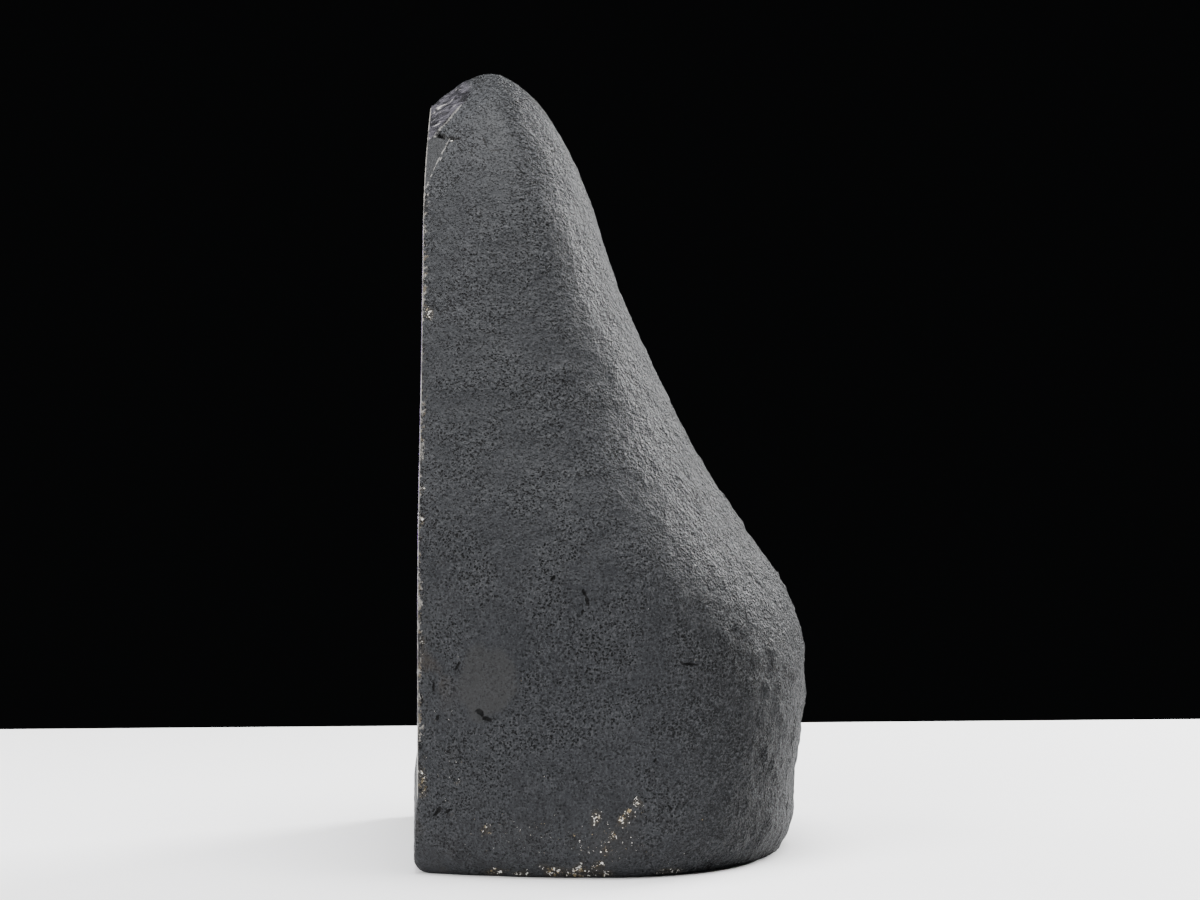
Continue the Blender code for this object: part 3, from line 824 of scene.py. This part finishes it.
def with_wear(m, coat):
    """Adds the worn spots with their flakes, the dents in painted shade, and the chips along the sawn edge
    with the gaps there in painted shade.
    """
    worn = m.attribute("worn")
    coat = m.mix(m.times(m.step(worn, 0.2, 0.8), 0.5), coat, WORN_BROWN)
    flake = m.plus(m.noise(520, 3, 0.75), m.times(m.math("MINIMUM", worn, 1.0), 0.25))
    flake_colour = m.mix(m.step(m.noise(300), 0.46, 0.58), FLAKE_WHITE, FLAKE_TAN)
    coat = m.mix(m.step(flake, 0.74, 0.78), coat, flake_colour)
    # Painted shade in the dents.
    dent = m.plus(m.attribute("dent"), m.wander(0.9, 420, 3))
    coat = m.mix(m.step(dent, 0.36, 0.52), coat, DENT_SHADE)
    edge = m.attribute("edge")
    often = m.plus(m.times(m.step(m.noise(28), 0.42, 0.60), 0.15), 0.20)
    chip = m.step(m.plus(m.noise(310, 4, 0.75), m.times(edge, often)), 0.74, 0.80)
    coat = m.mix(chip, coat, m.mix(m.step(m.noise(210), 0.45, 0.60), CHIP_PALE, CHIP_BROWN))
    # Painted shade in the gaps along the sawn edge.
    gap_shade = m.step(m.minus(m.noise(260, 3, 0.7), m.times(edge, 0.16)), 0.33, 0.27)
    return m.mix(m.times(gap_shade, m.step(edge, 0.0, 0.3)), coat, HOLE_SHADE)


def nearest_oval(m, place, ovals):
    """How far from the nearest of the side's ovals, 1 on its rim: the least of their distances."""
    nearest = 2.0
    for depth, height, long, wide, slant, *_ in ovals:
        side = OVAL_SIDE if height < OVAL_SIDE_CHANGE else OVAL_SIDE_HIGH
        centre = settle(np.array([0, depth * MM, height * MM])) + np.array([side, 0, 0])
        oval = m.from_spot(place, centre, math.radians(slant), long * MM, wide * MM)
        nearest = m.math("MINIMUM", nearest, oval)
    return nearest


def coat_material():
    """Dark cement brushed on thick: sandy grain with painted glints, pits, holes, dents and slits in painted
    shade, stains, wear, pale ridge lines that are partly painted highlight, and the broken stone with painted
    highlight on its crests.

    Each layer is mixed over the one before it, by a noise or a painted share put through an S-curve.
    """
    m = Nodes("dark_coat")
    place = m.place()
    low = m.step(m.add("ShaderNodeSeparateXYZ", {"Vector": place}).outputs["Z"], 0.080, 0.020)
    coarse, bare = m.attribute("coarse"), m.attribute("bare")
    rough = coat_roughness(m, low)
    pit = coat_pits(m, place, rough)
    fine, grit, dabs = m.noise(720, 3, 0.65), m.noise(430), m.noise(170)
    hole = m.times(m.step(m.noise(400), 0.33, 0.28), rough)

    coat = coat_ground(m, low)
    # Painted glints on the grains, brighter where the coat is coarse towards the lit back.
    painted_glint = m.times(m.step(fine, 0.46, 0.62), rough)
    coat = m.mix(m.times(painted_glint, 0.75), coat, m.mix(coarse, GRAIN_GLINT, GRAIN_GLINT_LIT_BACK))
    # Painted shade in the pits and holes.
    coat = m.mix(pit, coat, PIT_SHADE)
    coat = m.mix(m.times(hole, 0.9), coat, HOLE_SHADE)
    coat = with_wear(m, coat)
    ragged = m.wander(2.2, 380, 3, 0.6)
    # Painted shade in the slits and pits listed in PITS.
    coat = m.mix(m.step(m.plus(nearest_oval(m, place, PITS), ragged), 1.15, 0.85), coat, SLIT_SHADE)
    # The ridge painted pale: partly worn paint, partly painted highlight.
    ridge = m.plus(m.attribute("ridge"), m.wander(1.1, 300, 3))
    coat = m.mix(m.step(ridge, 0.56, 0.72), coat, LIP_WEAR_AND_HIGHLIGHT)

    layers = m.noise(420, 4, 0.65, stretch=(1, 4, 1.4), turn=math.radians(29))
    stone = m.mix(m.step(layers, 0.38, 0.56), STONE_DARK, STONE_GREY)
    # Painted highlight on the crests of the stone's layers.
    stone = m.mix(m.step(layers, 0.59, 0.66), stone, STONE_CREST_HIGHLIGHT)
    stone = m.mix(m.times(m.step(m.noise(230, 3), 0.50, 0.58), 0.8), stone, STONE_SPOT)
    # The lines painted pale along the ridges: partly worn paint, partly painted highlight.
    line = m.step(m.plus(nearest_oval(m, place, LIGHT_LINES), ragged), 1.2, 0.8)
    line = m.times(line, m.step(m.noise(330, 3), 0.42, 0.56))
    m.put(m.shader.inputs["Base Color"], m.mix(m.times(line, 0.8), m.mix(bare, coat, stone), LINE_WEAR_AND_HIGHLIGHT))
    m.put(m.shader.inputs["Roughness"], m.plus(m.times(fine, 0.5), 0.3))
    m.shader.inputs["Specular IOR Level"].default_value = 0.12

    height = m.minus(m.times(fine, 0.20), m.times(pit, 0.22))
    height = m.plus(height, m.times(grit, 0.24))
    height = m.plus(height, m.times(dabs, 0.20))
    height = m.minus(height, m.times(hole, 0.30))
    height = m.plus(height, m.times(m.times(grit, coarse), 0.5))
    height = m.mix(bare, height, m.times(layers, 1.3))
    strength = m.times(m.plus(m.times(coarse, COARSE_BUMP), 1.0), rough)
    m.put(m.shader.inputs["Normal"], m.bump(m.times(height, strength), COAT_BUMP))
    return m.material


GROWTH = [  # millimetres out from the hollow's wall, and the colour there
    (26.0, (0.055, 0.052, 0.046)),
    (18.0, (0.075, 0.070, 0.052)),
    (11.0, (0.046, 0.054, 0.040)),
    (8.6, (0.060, 0.080, 0.068)),
    (7.9, (0.22, 0.25, 0.26)),
    (6.6, (0.11, 0.135, 0.165)),
    (5.6, (0.30, 0.32, 0.34)),
    (4.9, (0.13, 0.155, 0.195)),
    (3.6, (0.19, 0.225, 0.275)),
    (3.1, (0.44, 0.45, 0.47)),
    (1.8, (0.27, 0.29, 0.34)),
    (0.8, (0.50, 0.50, 0.52)),
    (-1.0, (0.40, 0.40, 0.43)),
    (-2.6, (0.58, 0.57, 0.61)),
    (-4.6, (0.50, 0.46, 0.58)),
    (-6.8, (0.40, 0.31, 0.54)),
    (-9.0, (0.31, 0.18, 0.49)),
    (-12.0, (0.20, 0.080, 0.40)),
    (-16.0, (0.135, 0.040, 0.32)),
    (-24.0, (0.080, 0.016, 0.23)),
]


def growth_colour(m, out):
    """Rind, agate bands, white quartz and purple crystal, by how far out from the hollow's wall.

    Two noises, one wide and one narrow, make the bands wander. Gives the colour, and how far out.
    """
    out = m.plus(m.plus(out, m.wander(6.0, 30, 3)), m.wander(5.0, 9))
    most, least = GROWTH[0][0], GROWTH[-1][0]
    share = m.math("DIVIDE", m.minus(most, out), most - least)
    return m.ramp(share, [((most - at) / (most - least), colour) for at, colour in GROWTH]), out


RIND_FLECK = (0.20, 0.20, 0.15)
RIND_FROM = (8.0, 11.0)  # millimetres out from the hollow's wall
EDGE_DARK, EDGE_PALE = (0.035, 0.033, 0.030), (0.19, 0.18, 0.165)
EDGE_WIDE = (2.6, 2.0)  # millimetres in from the outline


def sawn_material():
    """The polished cut: agate bands round the hollow, then green-brown rind, then the coat's grey edge."""
    m = Nodes("sawn_rock")
    bands, out = growth_colour(m, m.attribute("way_out"))
    fleck = m.times(m.step(m.noise(380, 4, 0.7), 0.55, 0.68), m.step(out, *RIND_FROM))
    bands = m.mix(m.times(fleck, 0.5), bands, RIND_FLECK)
    edge = m.step(m.plus(m.attribute("way_in"), m.times(m.noise(160), 1.2)), *EDGE_WIDE)
    coat = m.mix(m.step(m.noise(140, 3, 0.7), 0.40, 0.58), EDGE_DARK, EDGE_PALE)
    m.put(m.shader.inputs["Base Color"], m.mix(edge, bands, coat))
    m.put(m.shader.inputs["Roughness"], m.plus(m.times(edge, 0.45), 0.2))
    m.put(m.shader.inputs["Normal"], m.bump(m.noise(300, 3), 0.0002, 0.4))
    return m.material


rock.data.materials.append(coat_material())
rock.data.materials.append(sawn_material())
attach(rock, "root")
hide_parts("rock_shell")

# The crystal crust
# A bed of milky quartz on the hollow's wall, out of which six-sided amethyst crystals grow side by side
# and into each other. The saw has cut it off level with the rock.

CRUST_GAP = 0.35 * MM
BED = 8.5 * MM
CRYSTALS = [  # spacing, smallest and largest radius, and the longest post as a share of the radius
    (20, 8.0, 11.5, 0.6),
    (12.5, 5.2, 7.2, 0.75),
    (6.8, 3.0, 4.4, 0.8),
]
COUNT_OF_TRIES = 26000
CROWDING = 0.62  # how near to a crystal's middle another may stand, as a share of its radius
PAST_CUT = 6 * MM  # feet may lie this far in front of the cut, where the saw takes their crystals
PAST_RIM = 0.12
SHORTEST_POST = 0.25
TILT = 0.22
CORNER_TURN = 0.16
CORNER_REACH = (0.86, 1.1)
ROOT = 5 * MM
ROOT_WIDE = 0.9
TIP_SHARE = 1.1
TIP_LEAN = 0.2


def crystal_feet(random):
    """Feet thrown over the bed at random, the largest crystals first, each where there is still room."""
    feet, sizes, shares = np.empty((0, 3)), np.empty(0), np.empty(0)
    for spacing, small, large, share in CRYSTALS:
        ball = random.normal(size=(COUNT_OF_TRIES, 3))
        ball /= np.linalg.norm(ball, axis=1)[:, None]
        tries = hollow_points(ball, BED)
        tries = tries[(tries[:, 1] > -PAST_CUT) & (ball[:, 1] > RIM_COSINE - PAST_RIM)]
        for place in tries:
            room = spacing * MM / 2 + sizes * CROWDING
            if (np.sum((feet - place) ** 2, axis=1) > room**2).all():
                feet = np.vstack([feet, place])
                sizes = np.append(sizes, random.uniform(small, large) * MM)
                shares = np.append(shares, share)
    return feet, sizes, shares


SLOPE_STEP = 0.2 * MM


def inwards_at(feet):
    """The way into the hollow at each foot: against the slope of the egg's own measure."""
    steps = SLOPE_STEP * np.eye(3)
    slope = np.stack([egg_measure(feet + step) - egg_measure(feet - step) for step in steps], axis=-1)
    return -slope / np.linalg.norm(slope, axis=1)[:, None]


def crystal_shapes(random, feet, sizes, shares):
    """Six-sided posts with six-sided points: for each, a lower ring, an upper ring, the tip and the root.

    A post stands on its foot, tilted at random from the way inwards. Its rings are six points round it,
    each a little out of turn and reach, and its tip leans to one side.
    """
    count = len(feet)
    up = inwards_at(feet) + TILT * random.normal(size=(count, 3))
    up /= np.linalg.norm(up, axis=1)[:, None]
    side = np.cross(up, random.normal(size=(count, 3)))
    side /= np.linalg.norm(side, axis=1)[:, None]
    other = np.cross(up, side)
    turn = np.arange(6) * math.pi / 3 + CORNER_TURN * random.uniform(-1, 1, (count, 6))
    ring = np.cos(turn)[..., None] * side[:, None] + np.sin(turn)[..., None] * other[:, None]
    ring *= (sizes[:, None] * random.uniform(*CORNER_REACH, (count, 6)))[..., None]
    post = sizes * shares * random.uniform(SHORTEST_POST, 1.0, count)
    root = feet - up * ROOT
    low = root[:, None] + ROOT_WIDE * ring
    high = feet[:, None] + (up * post[:, None])[:, None] + ring
    lean = random.uniform(-1, 1, (count, 1)) * side + random.uniform(-1, 1, (count, 1)) * other
    tip = feet + up * (post + TIP_SHARE * sizes)[:, None] + TIP_LEAN * sizes[:, None] * lean
    return np.concatenate([low, high, tip[:, None], root[:, None]], axis=1)


def crystal_triangles(count):
    """The same twenty-four triangles for every crystal."""
    i = np.arange(6)
    j = (i + 1) % 6
    sides = np.concatenate([np.stack([i, j, 6 + j], -1), np.stack([i, 6 + j, 6 + i], -1)])
    ends = np.concatenate([np.stack([6 + i, 6 + j, 0 * i + 12], -1), np.stack([j, i, 0 * i + 13], -1)])
    one = np.concatenate([sides, ends])
    return (one[None] + 14 * np.arange(count)[:, None, None]).reshape(-1, 3)


def apart(shapes):
    """Deals the crystals into heaps in which none touches another, so that each heap is a clean solid."""
    centre = shapes.mean(axis=1)
    radius = np.linalg.norm(shapes - centre[:, None], axis=2).max(axis=1)
    heaps = np.full(len(shapes), -1)
    for i in range(len(shapes)):
        near = np.linalg.norm(centre[:i] - centre[i], axis=1) < radius[:i] + radius[i]
        taken = set(heaps[:i][near])
        heaps[i] = next(h for h in itertools.count() if h not in taken)
    return heaps


def combined(made, tool, operation):
    """Joins or cuts two clean solids for good."""
    join = made.modifiers.new("join", "BOOLEAN")
    join.operation = operation
    join.solver = "MANIFOLD"
    join.object = tool
    cut = bpy.data.meshes.new_from_object(made.evaluated_get(bpy.context.evaluated_depsgraph_get()))
    made.modifiers.clear()
    made.data = cut
    bpy.data.objects.remove(tool)


BED_PAST_RIM = 0.18
BED_RINGS = 40
BED_COLUMNS = 181


def quartz_bed():
    """The bed: two eggs, one within the other, joined in front of the saw cut."""
    rim = math.acos(RIM_COSINE - BED_PAST_RIM)
    angles = np.linspace(0, rim, BED_RINGS)[:, None]
    turn = np.linspace(-math.pi, math.pi, BED_COLUMNS)[None, :]
    outer = hollow_points(ball_directions(angles, turn), CRUST_GAP)
    inner = hollow_points(ball_directions(angles, turn), BED)
    points, triangles, _, _ = weld([(outer, 0), (inner[:, ::-1], 0), (np.stack([outer[-1], inner[-1]]), 0)])
    made = fill_mesh("crystal_lining", points, triangles)
    face_outwards(made)
    return made


def saw_block():
    """All that lies before the saw cut."""
    shape = bmesh.new()
    bmesh.ops.create_cube(shape, size=1, matrix=Matrix.Translation((0, -0.5, 0.2)))
    mesh = bpy.data.meshes.new("saw_block")
    shape.to_mesh(mesh)
    shape.free()
    return set_out("saw_block", mesh)


CRYSTAL_SEED = 11
SAWN_WITHIN = 0.02 * MM

random = np.random.default_rng(CRYSTAL_SEED)
feet, sizes, shares = crystal_feet(random)
shapes = crystal_shapes(random, feet, sizes, shares)
heaps = apart(shapes)
lining = quartz_bed()
for heap in range(heaps.max() + 1):
    chosen = shapes[heaps == heap]
    tool = fill_mesh("heap", chosen.reshape(-1, 3), crystal_triangles(len(chosen)))
    face_outwards(tool)
    combined(lining, tool, "UNION")
combined(lining, saw_block(), "DIFFERENCE")
spots = np.empty(3 * len(lining.data.vertices))
lining.data.vertices.foreach_get("co", spots)
spots = spots.reshape(-1, 3)
paint(lining.data, "way_out", from_hollow(spots))
paint(lining.data, "sawn", (spots[:, 1] < SAWN_WITHIN).astype(float))
lining.data.vertices.foreach_set("co", settle(spots).ravel())
lining.data.update()


COMB_SCALE = 105.0  # sawn crystals to a metre
CLOUDY, SEAM_PALE = (0.34, 0.22, 0.50), (0.62, 0.58, 0.70)


def amethyst_material():
    """Milky quartz at the roots and clear purple crystal towards the points, jagged where it is sawn.

    In the cut, Voronoi cells shift the colours in and out, one for each sawn crystal, with pale seams.
    """
    m = Nodes("amethyst")
    inputs = {"Vector": m.place(), "Scale": COMB_SCALE}
    comb = m.add("ShaderNodeTexVoronoi", inputs, feature="F1").outputs["Distance"]
    seam = m.add("ShaderNodeTexVoronoi", inputs, feature="DISTANCE_TO_EDGE").outputs["Distance"]
    sawn = m.attribute("sawn")
    jagged = m.times(m.times(m.minus(comb, 0.45), 9.0), sawn)
    colour, _ = growth_colour(m, m.plus(m.attribute("way_out"), jagged))
    cloudy = m.mix(m.times(m.step(m.noise(150, 3), 0.48, 0.66), 0.3), colour, CLOUDY)
    seam = m.times(m.step(seam, 0.05, 0.0), m.times(sawn, 0.45))
    m.put(m.shader.inputs["Base Color"], m.mix(seam, cloudy, SEAM_PALE))
    m.put(m.shader.inputs["Normal"], m.bump(m.noise(210, 3, 0.6), 0.0010, 0.35))
    m.put(m.shader.inputs["Roughness"], m.plus(m.times(m.step(m.noise(90, 3), 0.4, 0.7), 0.16), 0.06))
    m.shader.inputs["IOR"].default_value = 1.544
    m.shader.inputs["Transmission Weight"].default_value = 0.45
    return m.material


lining.data.materials.clear()
lining.data.materials.append(amethyst_material())
lining.data.polygons.foreach_set("use_smooth", np.zeros(len(lining.data.polygons), dtype=bool))
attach(lining, "root")
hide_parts("crystal_crust")

# The table, the light and the camera
# A plain pale table top that ends behind the stone, soft lights from behind, above and the front, and a
# camera level with the stone's middle, in line with its sawn face.

TABLE_HALF = 0.65
TABLE_HEIGHTS = (-0.03, -0.0002)  # its top just clears the foot
TABLE_COLOUR = (0.96, 0.96, 0.97, 1)

sides = (-TABLE_HALF, TABLE_HALF)
table_points = list(itertools.product(sides, sides, TABLE_HEIGHTS))
table_faces = [(0, 1, 3, 2), (4, 6, 7, 5), (0, 4, 5, 1), (2, 3, 7, 6), (0, 2, 6, 4), (1, 5, 7, 3)]
table_mesh = bpy.data.meshes.new("table")
table_mesh.from_pydata(table_points, [], table_faces)
table_top = set_out("table", table_mesh)
pale = Nodes("pale_table")
pale.shader.inputs["Base Color"].default_value = TABLE_COLOUR
pale.shader.inputs["Roughness"].default_value = 0.5
table_mesh.materials.append(pale.material)


def soft_light(name, place, aim, size, power):
    """A square panel that shines at a point."""
    data = bpy.data.lights.new(name, "AREA")
    data.size = size
    data.energy = power
    made = set_out(name, data)
    made.location = place
    made.rotation_euler = (Vector(aim) - Vector(place)).to_track_quat("-Z", "Y").to_euler()


soft_light("back_right", (-1.15, 1.4, 1.15), (0, 0, 0.25), size=0.8, power=107)
soft_light("above", (0.2, 0.1, 1.9), (0, 0, 0.1), size=1.2, power=92)
soft_light("front_left", (1.0, -1.1, 1.5), (0, 0, 0.3), size=0.9, power=36)
soft_light("front", (-0.5, -1.6, 0.6), (0, 0, 0.2), size=0.9, power=40)

world = bpy.data.worlds.new("room")
world.use_nodes = True
world.node_tree.nodes["Background"].inputs["Color"].default_value = (0.9, 0.95, 1.0, 1)
world.node_tree.nodes["Background"].inputs["Strength"].default_value = 0.003
bpy.context.scene.world = world

EDGE_OFF_CENTRE = 183.5  # pixels of the photo from its middle to the sawn edge
FOCAL_PIXELS = 2433  # the focal length in the same pixels

lens = bpy.data.cameras.new("camera")
lens.lens = 73
lens.sensor_width = 36
camera = set_out("camera", lens)
camera.location = (1.515, SAW_DEPTH, 0.2445)
camera.rotation_euler = (math.pi / 2, 0, math.pi / 2 - math.atan(EDGE_OFF_CENTRE / FOCAL_PIXELS))
bpy.context.scene.camera = camera
